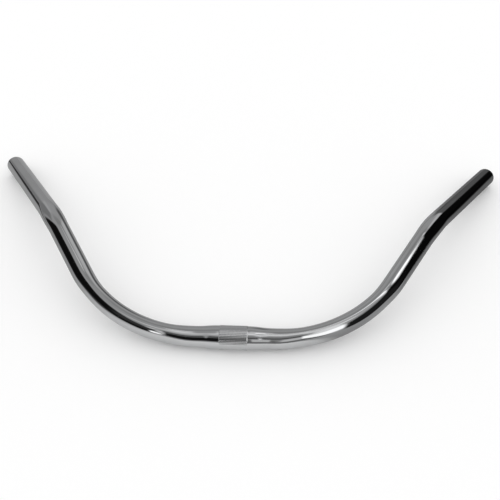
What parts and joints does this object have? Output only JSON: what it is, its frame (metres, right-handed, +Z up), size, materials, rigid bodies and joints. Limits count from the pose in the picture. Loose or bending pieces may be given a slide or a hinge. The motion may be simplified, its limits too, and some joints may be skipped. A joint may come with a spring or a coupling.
{
  "type": "cruiser handlebar",
  "caption": "Swept-back steel bicycle handlebar: a bulged clamp seat with a fine straight knurl, a wide main sweep, and straight grips that drop towards open ends.",
  "frame": {"origin": "middle of the stem clamp seat, on the axis of the tube", "axes": "+X along the clamp seat to the right-hand grip, +Y towards the grip ends (to the rider), +Z up as the bar lies at rest on a table, on its bulge and its two grip ends"},
  "size_m": [0.6444, 0.3041, 0.0627],
  "materials": {
    "chrome_plate": "bright chrome plate on steel tube, matte where the clamp seat is knurled"
  },
  "bodies": {
    "root": {"handlebar_tube": "chrome_plate"}
  },
  "joints": []
}
